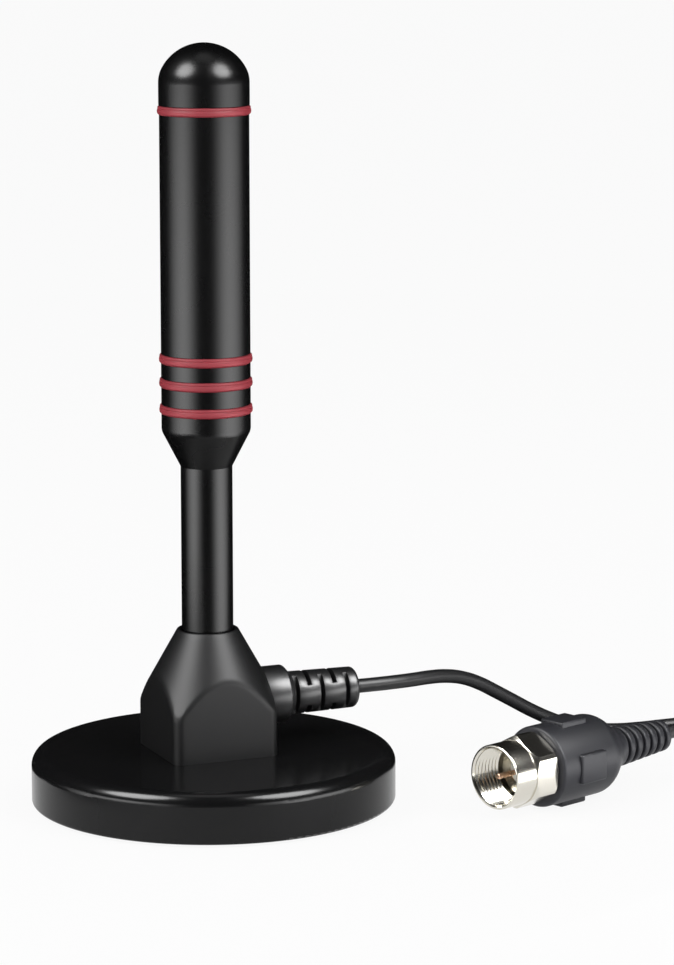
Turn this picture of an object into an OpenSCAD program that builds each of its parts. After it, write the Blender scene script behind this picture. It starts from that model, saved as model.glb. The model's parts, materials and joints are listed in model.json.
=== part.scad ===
// Indoor television antenna on a magnetic foot, with its lead and F-type plug.
// Millimetres, +Z up. The origin is the middle of the rubber foot's underside.
// The lead leaves the hub along +X.

/* [Base] */
// Diameter of the base
base_d = 61; // [52:0.5:80]
// Height of the base's flat top above the surface it stands on
base_h = 8.8; // [8:0.1:13]
// Wall and roof of the base shell
base_wall = 2.2; // [1.4:0.1:3]
// Rounding of the base's upper rim
base_rim_r = 2.2; // [0.6:0.1:3]
// Rounding of the base's lower edge
base_edge_r = 0.5; // [0.2:0.1:1]
// Distance from the edge of the base to the edge of the rubber foot
foot_margin = 3.3; // [3:0.1:6]
// Thickness of the rubber foot
foot_t = 0.8; // [0.5:0.1:1.2]
// How far the foot stands out of the base
foot_proud = 0.4; // [0.2:0.1:0.4]
// Thickness of the cover that closes the base from below
cover_t = 1.4; // [1.2:0.1:2]
// Distance from the edge of the base to the ring magnet
magnet_margin = 8; // [7.8:0.1:12]
// Hole of the ring magnet
magnet_hole_d = 22; // [20.5:0.5:28]
// Distance from the edge of the base to the steel keeper plate
keeper_margin = 7.7; // [7.6:0.1:12]
// Thickness of the steel keeper plate
keeper_t = 1.4; // [0.8:0.1:2]
// Number of screws that hold the cover
cover_screws_n = 4; // [3:1:6]
// Diameter of the posts that take the cover screws
boss_d = 4.4; // [4:0.1:5]

/* [Hub] */
// Side of the square hub
hub_side = 18.4; // [17.4:0.2:22]
// Height of the hub above the base
hub_h = 20.6; // [19:0.1:26]
// Rounding of the hub's upright edges
hub_edge_r = 1; // [0.4:0.1:2]
// Diameter of the flat rim round the stem
hub_rim_d = 10.2; // [9.8:0.1:12]
// Slope of the hub's cone from the upright, in degrees
hub_slope = 29.4; // [24:0.2:34]
// Wall of the hub
hub_wall = 2; // [1.4:0.1:2.4]
// Depth of the solid roof that holds the stem
hub_roof = 6.3; // [5:0.1:7]
// How far the mast stands behind the middle of the base
set_back = 0.95; // [0:0.05:1.5]
// Height of the two screw posts inside the hub
post_h = 4; // [3:0.1:4]

/* [Mast] */
// Diameter of the stem
stem_d = 8.6; // [7.8:0.1:9]
// Bore of the stem
stem_bore_d = 5.2; // [4:0.1:5.6]
// Length of stem seen between the hub and the cone
stem_shown = 27.5; // [15:0.5:60]
// Height of the cone under the tube
cone_h = 6; // [4:0.1:12]
// Rounding where the cone meets the straight part
cone_round = 2.8; // [1:0.1:4]
// Straight part between the cone and the lowest ring
land_h = 3.7; // [2.5:0.1:8]
// Diameter of the tube
tube_d = 14.8; // [14.2:0.1:20]
// Wall of the tube
tube_wall = 1.8; // [1.6:0.1:2]
// Distance from the lowest ring to the top ring
tube_l = 49.4; // [40:0.2:90]
// Distance from the top ring to the tip of the cap
cap_h = 11; // [9.5:0.1:16]
// How far the cap stands out over the tube
cap_proud = 0.1; // [0:0.05:0.3]
// Height of the dome
dome_h = 6.5; // [5.8:0.1:7.2]
// Radius of the dome's shoulder
dome_shoulder_r = 5; // [3.5:0.1:5.4]
// Depth of the sockets between the tube, the cap and the cone
socket_l = 4; // [3:0.1:5]

/* [Rings] */
// Thickness of the red rings
ring_t = 1.5; // [1.2:0.05:1.6]
// How far the red rings stand out of the tube
ring_proud = 0.35; // [0.2:0.05:0.6]
// Distance from the lowest ring to the next
ring_step_low = 4.4; // [3:0.1:6]
// Distance from the middle ring to the one above
ring_step_high = 4; // [3:0.1:6]

/* [Radiator] */
// Diameter of the wound radiator wire
wire_d = 1; // [0.6:0.1:1.4]
// Number of turns of the radiator
wire_turns = 10; // [6:1:11]
// Rise of each turn
wire_pitch = 3.2; // [2.2:0.1:3.2]
// Diameter of the rod that the wire is wound on
former_d = 5; // [4:0.1:5.6]
// Diameter of the feed rod in the stem
feed_d = 1.2; // [0.8:0.1:1.8]

/* [Strain relief] */
// Height of the lead where it leaves the hub
exit_h = 17; // [16.9:0.1:17.5]
// Diameter of the collar on the hub
collar_d = 9.8; // [8.4:0.1:10.4]
// Length of the straight collar
collar_l = 4.1; // [3:0.1:4.4]
// Length of the taper behind the collar
collar_taper = 1.1; // [0.8:0.1:1.4]
// Diameter of the slotted sleeve at the collar
sleeve_d = 7.3; // [7:0.1:7.8]
// Diameter of the slotted sleeve at its end
sleeve_end_d = 6.9; // [6:0.1:7]
// Reach of the strain relief from the hub's face
relief_l = 17.2; // [16.6:0.1:20]
// Width of each slot
slot_w = 0.8; // [0.5:0.05:1.2]
// Number of slots
slots_n = 5; // [3:1:5]
// Distance from slot to slot
slot_pitch = 2.3; // [2:0.05:2.5]
// Thickness of the web that the slots leave
web_t = 3.4; // [3.2:0.1:4]

/* [Lead] */
// Diameter of the coaxial lead
lead_d = 2.4; // [2:0.1:2.6]
// Diameter of the coil at the middle of its turns
coil_mid_d = 28; // [26:0.5:34]
// Turns side by side, and turns on each other, in the coil
coil_rows = 4; // [3:1:4]
// Distance from turn to turn
turn_step = 2.64; // [2.4:0.02:2.9]
// Thickness of the tie round the coil
tie_t = 0.33; // [0.2:0.01:0.5]
// Width of the tie
tie_w = 4; // [2:0.5:6]

/* [Plug] */
// Width across the flats of the coupling nut
nut_af = 11; // [10.6:0.1:11.4]
// Length of the nut's hexagon
nut_hex_l = 5; // [4:0.1:8]
// Diameter of the nut's round mouth
mouth_d = 10.8; // [10.2:0.1:11.4]
// Length of the nut's round mouth
mouth_l = 4.6; // [3:0.1:8]
// Bore of the nut over its thread
thread_bore_d = 8.8; // [8.6:0.1:9.4]
// Length of the nut's rear lip
nut_lip_l = 2; // [1.2:0.1:3]
// Outer diameter of the ferrule that the nut turns on
ferrule_d = 7; // [6.4:0.1:7.4]
// Diameter of the ferrule's front flange
ferrule_flange_d = 8.3; // [8:0.1:8.4]
// Thickness of the ferrule's front flange
ferrule_flange_t = 1; // [0.6:0.1:1.6]
// Diameter of the white insulator
insulator_d = 4.8; // [3.6:0.1:5.2]
// Diameter of the centre pin
pin_d = 0.9; // [0.7:0.05:1.2]
// How far the pin stands out of the insulator
pin_free = 5.6; // [4:0.1:8]
// Diameter of the moulded plug body
body_d = 13.6; // [13:0.1:16]
// Length of the straight part of the plug body
body_l = 12.5; // [10:0.1:20]
// Length of the taper behind it
body_taper = 7; // [4:0.1:12]
// Diameter of the ribbed boot where it starts
boot_d = 7; // [6.2:0.1:8]
// Diameter of the ribbed boot where the lead leaves it
boot_end_d = 5.4; // [4.8:0.1:6]
// Number of ribs on the boot
boot_ribs = 6; // [3:1:8]
// Distance from rib to rib
rib_pitch = 2; // [1.6:0.1:3]
// Width of the groove between two ribs
rib_groove = 0.8; // [0.4:0.1:1.2]
// Depth of the groove between two ribs
rib_depth = 0.7; // [0.3:0.1:1]
// Length of the grip pads
pad_l = 6; // [3:0.5:9]
// Width of the grip pads
pad_w = 5; // [3:0.5:5.5]
// How far the grip pads stand out
pad_proud = 0.4; // [0.2:0.05:0.8]

/* [Fits] */
// Gap between pieces that are fitted together
fit_gap = 0.05; // [0.02:0.01:0.1]
// Gap between the coupling nut and the ferrule it turns on
run_gap = 0.05; // [0.03:0.01:0.1]

/* [Hidden] */
$fn = 96;

// Colours
black_gloss = "#161618";
black_satin = "#26262a";
black_rubber = "#1c1c1e";
ring_red = "#b02a3a";
bright_nickel = "#cfcabb";
plain_steel = "#9a9ca0";
dark_ferrite = "#3a3a3c";
soft_copper = "#b87333";
yellow_brass = "#c2a24a";
clear_white = "#e8e6de";

// Thin overlap that lets a cut pass through a face
through = 0.1;

// Levels of the base, from below
z_edge = foot_proud;
z_stack = foot_t + cover_t;
z_under_roof = base_h - base_wall;
z_keeper = z_under_roof - keeper_t;
base_r = base_d / 2;
cavity_r = base_r - base_wall;
foot_r = base_r - foot_margin;
magnet_r = base_r - magnet_margin;
keeper_r = base_r - keeper_margin;
boss_margin = 0.7;
boss_circle = cavity_r - boss_d / 2 - boss_margin;

// Screws: the play of a free hole, the gap where a thread or a sleeve grips
screw_play = 0.1;
grip_gap = 0.02;
screw_short = 0.8;
cover_screw_r = 0.9;
cover_head_r = 1.8;
cover_head_t = 0.9;
hub_screw_r = 1;
hub_head_r = 1.9;
hub_head_t = 1.3;
hub_screw_off = 5.1;
post_r = 2.2;

// Levels of the mast, from below
z_rim = base_h + hub_h;
z_hub_roof = z_rim - hub_roof;
z_cone = z_rim + stem_shown;
z_shoulder = z_cone + cone_h;
z_low_ring = z_shoulder + land_h;
z_mid_ring = z_low_ring + ring_step_low;
z_up_ring = z_mid_ring + ring_step_high;
z_top_ring = z_low_ring + tube_l;
z_tip = z_top_ring + cap_h;
z_dome = z_tip - dome_h;

// Stem, its stub in the hub and its spigot in the cone
stem_r = stem_d / 2;
stem_bore_r = stem_bore_d / 2;
stub_step = 0.3;
stub_r = stem_r - stub_step;
seat_depth = 0.5;
seat_gap = 0.25;
stem_nut_af = 9.5;
stem_nut_t = 2.2;
stub_free = 0.9;
z_stub = z_hub_roof - stem_nut_t - stub_free;
spigot_step = 0.8;
spigot_r = stem_r - spigot_step;
spigot_l = 5;
feed_r = feed_d / 2;

// Cone and tube
tube_r = tube_d / 2;
tube_bore_r = tube_r - tube_wall;
groove_h = ring_t + 2 * fit_gap;
ring_mid_r = tube_r + ring_proud - ring_t / 2;
groove_r = ring_mid_r - ring_t / 2 - fit_gap;
socket_wall = 1.6;
well_r = tube_bore_r - socket_wall;
z_web = z_cone + spigot_l;
z_well = z_web + socket_wall;
z_socket = z_low_ring + groove_h / 2 + socket_l;

// Cap: a crown arc that runs into a shoulder arc
cap_r = tube_r + cap_proud;
shoulder_mid = cap_r - dome_shoulder_r;
crown_r = (shoulder_mid * shoulder_mid + dome_h * dome_h - dome_shoulder_r * dome_shoulder_r)
    / (2 * (dome_h - dome_shoulder_r));
crown_low = dome_shoulder_r * (crown_r - dome_h) / (crown_r - dome_shoulder_r);
crown_wide = shoulder_mid * crown_r / (crown_r - dome_shoulder_r);
z_cap_socket = z_top_ring - groove_h / 2 - socket_l;

// Radiator winding
former_r = former_d / 2;
former_plate = 1.4;
wire_r = wire_d / 2;
steps_per_turn = 12;
winding_r = (former_r + wire_r + fit_gap) / cos(180 / steps_per_turn);
z_winding = z_socket + former_plate + 1.4;
z_feed_top = z_well + 3;
z_former_top = z_cap_socket + former_plate + 0.3;
wire_path = concat(
    [
        [0, 0, z_feed_top],
        [0, 0, z_feed_top + 0.8],
        [winding_r * 0.45, 0, z_feed_top + 1.5],
        [winding_r * 0.85, 0, z_feed_top + 2.2],
        [winding_r, 0, z_feed_top + 3.2]
    ],
    [for (i = [0 : steps_per_turn * wire_turns]) let (a = i * 360 / steps_per_turn)
        [winding_r * cos(a), winding_r * sin(a), z_winding + i * wire_pitch / steps_per_turn]]
);

// Lead and strain relief, along X
lead_r = lead_d / 2;
x_face = hub_side / 2 - set_back;
x_inner_face = x_face - hub_wall;
x_end = x_face + relief_l;
first_slot = 5.65;
x_slot = x_face + first_slot;
flange_r = 3.9;
flange_t = 1.15;
neck_r = 3.2;
sleeve_round = 0.7;
lead_inset = 1.3;
x_lead_start = x_inner_face - flange_t - lead_inset;
core_r = 0.3;
x_core_end = 0.2;
terminal_r = 2.4;
terminal_below = 2.4;
z_feed_start = exit_h + 1.3;
lug_x = 2.5;
lug_r = 2.3;
lug_t = 0.5;
braid_r = 0.4;
z_braid = exit_h - lead_r + braid_r;
braid_path = [
    [x_lead_start, 0, z_braid],
    [x_lead_start - 0.4, 0, z_braid],
    [lug_x + 0.3, 0, z_braid - 0.5],
    [lug_x, 0, z_braid - 1.4],
    [lug_x, 0, z_under_roof + 4],
    [lug_x, 0, z_under_roof + lug_t]
];

// Route of the lead from the strain relief to the coil, chosen by hand
lead_route = [
    [25.45, 0, 17], [29.5, 0, 17], [33.4, 0.4, 16.95], [37.2, 1.4, 16.8], [41, 2.8, 16.6], [44.9, 4.4, 16.1],
    [48.8, 6, 15.1], [52.6, 7.4, 13.5], [56.4, 8.7, 11.4], [60.4, 9.8, 9.1], [64.4, 10.6, 6.8],
    [68.6, 11.1, 4.7], [72.8, 11.4, 3], [77, 11.5, 2], [81.4, 11.5, 1.4], [86, 11.5, 1.2], [91, 11.5, 1.2],
    [96.4, 11.5, 1.2], [102, 11.5, 1.2], [107.5, 11.6, 1.2]
];
// Route of the lead from the coil to the plug, chosen by hand
tail_route = [
    [107.5, -24, 3.5], [104, -23, 2.9], [100, -20.6, 2], [96.5, -17.5, 1.5],
    [93, -14.8, 2], [89, -13, 3.6], [85, -12.8, 5.6], [80.7, -14.2, 7.2], [76, -16, 7.2]
];
coil_place = [118, -6, 0];

// Coil of the lead, as the outer shape of its turns
coil_half = (turn_step * (coil_rows - 1) + lead_d) / 2;
coil_mid_r = coil_mid_d / 2;
twist_r = 0.9;
twist_l = 8;

// Plug, measured along its axis from the end of the boot
plug_end = [76, -16, 7.2];
plug_turn = 201;
boot_l = boot_ribs * rib_pitch;
body_start = boot_l + body_taper;
body_front = body_start + body_l;
nut_clear = 0.2;
nut_start = body_front + nut_clear;
nut_bore_start = nut_start + nut_lip_l;
nut_l = nut_hex_l + mouth_l;
flange_start = nut_bore_start + nut_clear / 2;
insulator_front = flange_start + ferrule_flange_t;
ferrule_hidden = 6.5;
ferrule_back = body_front - ferrule_hidden;
pin_hidden = 5;
ferrule_r = ferrule_d / 2;
body_r = body_d / 2;
nut_corner_r = nut_af / 2 / cos(30);
nut_chamfer = 0.5;
pin_step = 0.65;
pin_round = 0.2;
body_round = 0.5;
pin_root_r = pin_d / 2 + pin_step;

// Unit vector along v
function unit(v) = v / norm(v);

// Direction of a path at its point i
function heading(p, i) = unit(p[min(i + 1, len(p) - 1)] - p[max(i - 1, 0)]);

// Sideways vectors along a path, each turned as little as possible from the last
function sideways(p, i, last) = i >= len(p) ? [] :
    let (t = heading(p, i), u = unit(last - t * (last * t)))
    concat([u], sideways(p, i + 1, u));

// Round tube along a path
module tube_along(path, r, sides, first_side) {
    u = sideways(path, 0, first_side);
    rings = len(path);
    points = [for (i = [0 : rings - 1], k = [0 : sides - 1])
        let (a = k * 360 / sides, w = cross(heading(path, i), u[i]))
        path[i] + r * (cos(a) * u[i] + sin(a) * w)];
    walls = [for (i = [0 : rings - 2], k = [0 : sides - 1])
        let (a = i * sides + k, b = i * sides + (k + 1) % sides)
        each [[a, a + sides, b], [b, a + sides, b + sides]]];
    start = [for (k = [0 : sides - 1]) k];
    end = [for (k = [sides - 1 : -1 : 0]) (rings - 1) * sides + k];
    polyhedron(points = points, faces = concat([start, end], walls), convexity = 10);
}

// Flat ring or pipe between two levels
module band(r_in, r_out, z_low, z_high) {
    rotate_extrude() translate([r_in, z_low]) square([r_out - r_in, z_high - z_low]);
}

// Cut that rounds the outer upper corner of a turned outline at (r, z)
module round_top(r, z, round_r) {
    difference() {
        translate([r - round_r, z - round_r]) square(round_r + through);
        translate([r - round_r, z - round_r]) circle(round_r);
    }
}

// Cut that rounds the outer lower corner of a turned outline at (r, z)
module round_bottom(r, z, round_r) {
    difference() {
        translate([r - round_r, z - through]) square(round_r + through);
        translate([r - round_r, z + round_r]) circle(round_r);
    }
}

// Square with rounded corners, centred
module rounded_square(side, edge_r) {
    square([side - 2 * edge_r, side], center = true);
    square([side, side - 2 * edge_r], center = true);
    for (x = [-1, 1], y = [-1, 1])
        translate([x * (side / 2 - edge_r), y * (side / 2 - edge_r)]) circle(edge_r);
}

// Frame of the mast, of the lead's exit and of the plug
module on_mast() { translate([-set_back, 0, 0]) children(); }
module on_exit() { translate([0, 0, exit_h]) rotate([0, 90, 0]) children(); }
module on_plug() { translate(plug_end) rotate([0, 90, plug_turn]) children(); }

// Places of the cover screws and of the hub screws
module at_cover_screws() {
    for (i = [0 : cover_screws_n - 1])
        rotate([0, 0, (i + 0.5) * 360 / cover_screws_n]) translate([boss_circle, 0, 0]) children();
}
module at_hub_screws() {
    for (s = [-1, 1]) translate([-set_back + s * hub_screw_off, -s * hub_screw_off, 0]) children();
}

module foot_pad() {
    color(black_rubber) cylinder(r = foot_r, h = foot_t);
}

module bottom_cover() {
    color(black_satin) difference() {
        translate([0, 0, z_edge]) cylinder(r = cavity_r - fit_gap, h = z_stack - z_edge);
        cylinder(r = foot_r + fit_gap, h = foot_t);
        at_cover_screws() {
            cylinder(r = cover_screw_r + 2 * screw_play, h = z_stack + through);
            translate([0, 0, foot_t])
                cylinder(r1 = cover_head_r + fit_gap, r2 = cover_screw_r + fit_gap, h = cover_head_t);
        }
    }
}

module cover_screws() {
    color(plain_steel) at_cover_screws() {
        translate([0, 0, foot_t]) cylinder(r1 = cover_head_r, r2 = cover_screw_r, h = cover_head_t);
        translate([0, 0, foot_t]) cylinder(r = cover_screw_r, h = z_under_roof - foot_t - screw_short);
    }
}

module magnet_ring() {
    color(dark_ferrite) band(magnet_hole_d / 2, magnet_r, z_stack, z_keeper);
}

module keeper_plate() {
    color(plain_steel) difference() {
        translate([0, 0, z_keeper]) cylinder(r = keeper_r, h = keeper_t);
        at_hub_screws() translate([0, 0, z_keeper - through])
            cylinder(r = hub_screw_r + screw_play, h = keeper_t + 2 * through);
    }
}

module base_outline() {
    difference() {
        translate([0, z_edge]) square([base_r, base_h - z_edge]);
        round_top(base_r, base_h, base_rim_r);
        round_bottom(base_r, z_edge, base_edge_r);
        translate([-through, z_edge - through])
            square([cavity_r + through, z_under_roof - z_edge + through]);
    }
}

module base_shell() {
    color(black_gloss) difference() {
        union() {
            rotate_extrude() base_outline();
            at_cover_screws() translate([0, 0, z_stack])
                cylinder(d = boss_d, h = z_under_roof - z_stack + through);
        }
        at_cover_screws() translate([0, 0, z_stack - through])
            cylinder(r = cover_screw_r + grip_gap, h = z_under_roof - z_stack);
        at_hub_screws() translate([0, 0, z_under_roof - through])
            cylinder(r = hub_screw_r + screw_play, h = base_wall + 2 * through);
        translate([lug_x, 0, z_under_roof - through])
            cylinder(r = lug_r + 2 * screw_play, h = base_wall + 2 * through);
    }
}

module hub_screws() {
    color(plain_steel) at_hub_screws() {
        translate([0, 0, z_keeper - hub_head_t]) cylinder(r = hub_head_r, h = hub_head_t);
        translate([0, 0, z_keeper]) cylinder(r = hub_screw_r, h = base_h + post_h - screw_short - z_keeper);
    }
}

module ground_lug() {
    color(yellow_brass) translate([lug_x, 0, z_under_roof]) cylinder(r = lug_r, h = lug_t);
}

// Square prism whose top is turned to a cone, up to level z_top
module hub_form(side, edge_r, inset, z_top) {
    foot_cone_r = hub_rim_d / 2 + hub_h * tan(hub_slope) - inset;
    top_cone_r = hub_rim_d / 2 + (z_rim - z_top) * tan(hub_slope) - inset;
    intersection() {
        translate([0, 0, base_h]) linear_extrude(z_top - base_h) rounded_square(side, edge_r);
        translate([0, 0, base_h]) cylinder(r1 = foot_cone_r, r2 = top_cone_r, h = z_top - base_h);
    }
}

module hub_housing() {
    color(black_satin) difference() {
        union() {
            on_mast() difference() {
                hub_form(hub_side, hub_edge_r, 0, z_rim);
                hub_form(hub_side - 2 * hub_wall, 0.4, hub_wall / cos(hub_slope), z_hub_roof);
            }
            at_hub_screws() translate([0, 0, base_h]) cylinder(r = post_r, h = post_h);
        }
        on_mast() translate([0, 0, z_hub_roof - through])
            cylinder(r = stub_r + fit_gap, h = hub_roof + 2 * through);
        on_mast() translate([0, 0, z_rim - seat_depth])
            cylinder(r = stem_r + seat_gap, h = seat_depth + through);
        at_hub_screws() translate([0, 0, base_h - through])
            cylinder(r = hub_screw_r + grip_gap, h = post_h);
        on_exit() translate([0, 0, x_inner_face - through])
            cylinder(r = neck_r + fit_gap, h = hub_wall + 2 * through);
    }
}

module stem_nut() {
    color(plain_steel) on_mast() difference() {
        translate([0, 0, z_hub_roof - stem_nut_t]) rotate([0, 0, 30])
            cylinder(r = stem_nut_af / 2 / cos(30), h = stem_nut_t, $fn = 6);
        translate([0, 0, z_hub_roof - stem_nut_t - through])
            cylinder(r = stub_r + fit_gap, h = stem_nut_t + 2 * through);
    }
}

module stem_tube() {
    color(black_gloss) on_mast() rotate_extrude() polygon([
        [stem_bore_r, z_stub], [stub_r, z_stub], [stub_r, z_rim - seat_depth],
        [stem_r, z_rim - seat_depth], [stem_r, z_cone], [spigot_r, z_cone],
        [spigot_r, z_web - fit_gap], [stem_bore_r, z_web - fit_gap]
    ]);
}

module feed_terminal() {
    color(yellow_brass) difference() {
        on_mast() translate([0, 0, exit_h - terminal_below])
            cylinder(r = terminal_r, h = z_stub - exit_h + terminal_below);
        on_mast() translate([0, 0, z_feed_start])
            cylinder(r = feed_r + grip_gap, h = z_stub - exit_h);
        on_exit() translate([0, 0, x_core_end - 0.1]) cylinder(r = core_r + grip_gap, h = terminal_r);
    }
}

module feed_rod() {
    color(soft_copper) on_mast() translate([0, 0, z_feed_start])
        cylinder(r = feed_r, h = z_feed_top - z_feed_start);
}

module feed_insulator() {
    color(clear_white) on_mast()
        band(feed_r + grip_gap, stem_bore_r - fit_gap, z_stub, z_web - fit_gap);
}

// Cut that rounds the corner where the cone meets the straight part
module cone_round_cut() {
    slope = atan((tube_r - stem_r) / cone_h);
    reach = cone_round * tan(slope / 2);
    middle = [tube_r - cone_round, z_shoulder + reach];
    // The arc stands out a hair, so it crosses both sides in plain edges
    hair = 0.015 * [cos(slope / 2), -sin(slope / 2)];
    difference() {
        polygon([
            middle, [tube_r, z_shoulder + reach], [tube_r + 0.3, z_shoulder - 0.1],
            [tube_r - reach * sin(slope), z_shoulder - reach * cos(slope)]
        ]);
        translate(middle + hair) circle(cone_round);
    }
}

module reducer_cone() {
    color(black_gloss) on_mast() rotate_extrude() difference() {
        polygon([
            [spigot_r + fit_gap, z_cone], [stem_r, z_cone], [tube_r, z_shoulder],
            [tube_r, z_low_ring - groove_h / 2], [groove_r, z_low_ring - groove_h / 2],
            [groove_r, z_low_ring + groove_h / 2], [tube_bore_r - fit_gap, z_low_ring + groove_h / 2],
            [tube_bore_r - fit_gap, z_socket], [well_r, z_socket], [well_r, z_well],
            [feed_r + fit_gap, z_well], [feed_r + fit_gap, z_web], [spigot_r + fit_gap, z_web]
        ]);
        cone_round_cut();
    }
}

module coil_former() {
    color(clear_white) on_mast() difference() {
        union() {
            translate([0, 0, z_socket]) cylinder(r = tube_bore_r - fit_gap, h = former_plate);
            translate([0, 0, z_socket]) cylinder(r = former_r, h = z_former_top - z_socket);
            translate([0, 0, z_former_top - former_plate])
                cylinder(r = well_r - fit_gap, h = former_plate);
        }
        translate([winding_r, 0, z_socket - through])
            cylinder(r = wire_r + fit_gap, h = former_plate + 2 * through);
    }
}

module radiator_coil() {
    color(soft_copper) on_mast() tube_along(wire_path, wire_r, 8, [0, 1, 0]);
}

module antenna_tube() {
    color(black_gloss) on_mast() rotate_extrude() difference() {
        translate([tube_bore_r, z_low_ring + groove_h / 2])
            square([tube_wall, tube_l - groove_h]);
        for (z = [z_mid_ring, z_up_ring])
            translate([groove_r, z - groove_h / 2]) square([ring_t + 1, groove_h]);
    }
}

module ring_at(z) {
    color(ring_red) on_mast() translate([0, 0, z])
        rotate_extrude() translate([ring_mid_r, 0]) circle(d = ring_t, $fn = 48);
}
module lower_ring() { ring_at(z_low_ring); }
module middle_ring() { ring_at(z_mid_ring); }
module upper_ring() { ring_at(z_up_ring); }
module top_ring() { ring_at(z_top_ring); }

module dome_outline() {
    intersection() {
        translate([0, z_dome]) square([cap_r, dome_h + through]);
        union() {
            translate([shoulder_mid, z_dome]) circle(dome_shoulder_r);
            polygon([[0, z_dome], [shoulder_mid, z_dome],
                [crown_wide, z_dome + crown_low], [0, z_dome + crown_low]]);
            intersection() {
                translate([0, z_tip - crown_r]) circle(crown_r);
                translate([0, z_dome + crown_low]) square([crown_wide + through, dome_h]);
            }
        }
    }
}

module dome_cap() {
    color(black_gloss) on_mast() difference() {
        union() {
            rotate_extrude() union() {
                dome_outline();
                translate([0, z_top_ring + groove_h / 2])
                    square([cap_r, z_dome - z_top_ring - groove_h / 2]);
                translate([0, z_top_ring - groove_h / 2]) square([groove_r, groove_h]);
                translate([0, z_cap_socket]) square([tube_bore_r - fit_gap, socket_l]);
            }
        }
        translate([0, 0, z_cap_socket - through])
            cylinder(r = well_r, h = z_dome - z_cap_socket + through - 1);
        translate([0, 0, z_dome - 1]) sphere(r = well_r);
    }
}

// Slots cut from two opposite sides down to the web
module slot_pair(x) {
    for (s = [-1, 1]) translate([x, s * (web_t / 2 + 5), 0])
        cube([slot_w, 10, 12], center = true);
}

module strain_relief() {
    color(black_rubber) difference() {
        on_exit() rotate_extrude() difference() {
            polygon([
                [lead_r + grip_gap, x_inner_face - flange_t], [flange_r, x_inner_face - flange_t],
                [flange_r, x_inner_face], [neck_r, x_inner_face], [neck_r, x_face],
                [collar_d / 2, x_face], [collar_d / 2, x_face + collar_l],
                [sleeve_d / 2, x_face + collar_l + collar_taper], [sleeve_end_d / 2, x_end],
                [lead_r + grip_gap, x_end]
            ]);
            round_top(sleeve_end_d / 2, x_end, sleeve_round);
        }
        for (i = [0 : slots_n - 1]) translate([0, 0, exit_h])
            rotate([i % 2 * 90, 0, 0]) slot_pair(x_slot + i * slot_pitch);
    }
}

module lead_end() {
    color(black_rubber) on_exit() translate([0, 0, x_lead_start])
        cylinder(r = lead_r, h = x_end - x_lead_start);
}

module lead_core() {
    color(soft_copper) on_exit() translate([0, 0, x_core_end])
        cylinder(r = core_r, h = x_lead_start - x_core_end);
}

module braid_tail() {
    color(plain_steel) tube_along(braid_path, braid_r, 8, [0, 1, 0]);
}

module signal_lead() {
    color(black_rubber) tube_along(lead_route, lead_r, 8, [0, 1, 0]);
}

module plug_tail() {
    color(black_rubber) tube_along(tail_route, lead_r, 8, [0, 0, 1]);
}

// Ring in the outer shape of the coiled turns, smaller all round by inset
module coil_form(inset) {
    half = coil_half - inset;
    rotate_extrude() translate([coil_mid_r, coil_half]) rounded_square(2 * half, lead_r);
}

// Slice of space across one side of the coil, where the tie goes round
module tie_slice() {
    translate([coil_mid_r, 0, coil_half]) cube([4 * coil_half, tie_w, 4 * coil_half], center = true);
}

module cable_coil() {
    color(black_rubber) translate(coil_place) union() {
        coil_form(tie_t);
        difference() {
            coil_form(0);
            tie_slice();
        }
    }
}

module coil_tie() {
    color(black_satin) translate(coil_place) difference() {
        union() {
            intersection() {
                coil_form(0);
                tie_slice();
            }
            translate([coil_mid_r + coil_half - lead_r, 0, coil_half]) rotate([0, 60, 0])
                cylinder(r = twist_r, h = twist_l);
        }
        coil_form(tie_t);
    }
}

// Radius of the boot's ribs at a distance from the boot's end
function boot_r(z) = (boot_end_d + (boot_d - boot_end_d) * z / boot_l) / 2;

module plug_outline() {
    taper_steps = 10;
    boot = [for (i = [0 : boot_ribs - 1]) let (z = i * rib_pitch)
        each [
            [boot_r(z), z], [boot_r(z), z + rib_pitch - rib_groove],
            [boot_r(z) - rib_depth, z + rib_pitch - rib_groove], [boot_r(z) - rib_depth, z + rib_pitch]
        ]];
    taper = [for (i = [0 : taper_steps]) let (s = i / taper_steps)
        [boot_d / 2 + (body_r - boot_d / 2) * (1 - cos(180 * s)) / 2, boot_l + s * body_taper]];
    difference() {
        polygon(concat([[0, 0]], boot, taper, [[body_r, body_front], [0, body_front]]));
        round_top(body_r, body_front, body_round);
    }
}

module plug_body() {
    color(black_rubber) on_plug() difference() {
        union() {
            rotate_extrude() plug_outline();
            for (a = [0 : 90 : 270]) rotate([0, 0, a])
                translate([body_r / 2 + pad_proud / 2, 0, body_start + body_l * 0.45])
                cube([body_r + pad_proud, pad_w, pad_l], center = true);
        }
        translate([0, 0, ferrule_back]) cylinder(r = ferrule_r + grip_gap, h = body_l);
    }
}

module plug_ferrule() {
    color(bright_nickel) on_plug() rotate_extrude() polygon([
        [insulator_d / 2 + grip_gap, ferrule_back], [ferrule_r, ferrule_back],
        [ferrule_r, flange_start], [ferrule_flange_d / 2, flange_start],
        [ferrule_flange_d / 2, insulator_front], [insulator_d / 2 + grip_gap, insulator_front]
    ]);
}

module plug_insulator() {
    color(clear_white) on_plug()
        band(pin_root_r + grip_gap, insulator_d / 2, ferrule_back, insulator_front);
}

module centre_pin() {
    color(soft_copper) on_plug() rotate_extrude() {
        translate([0, insulator_front - pin_hidden]) square([pin_root_r, pin_hidden]);
        difference() {
            translate([0, insulator_front - through]) square([pin_d / 2, pin_free + through]);
            round_top(pin_d / 2, insulator_front + pin_free, pin_round);
        }
    }
}

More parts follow.
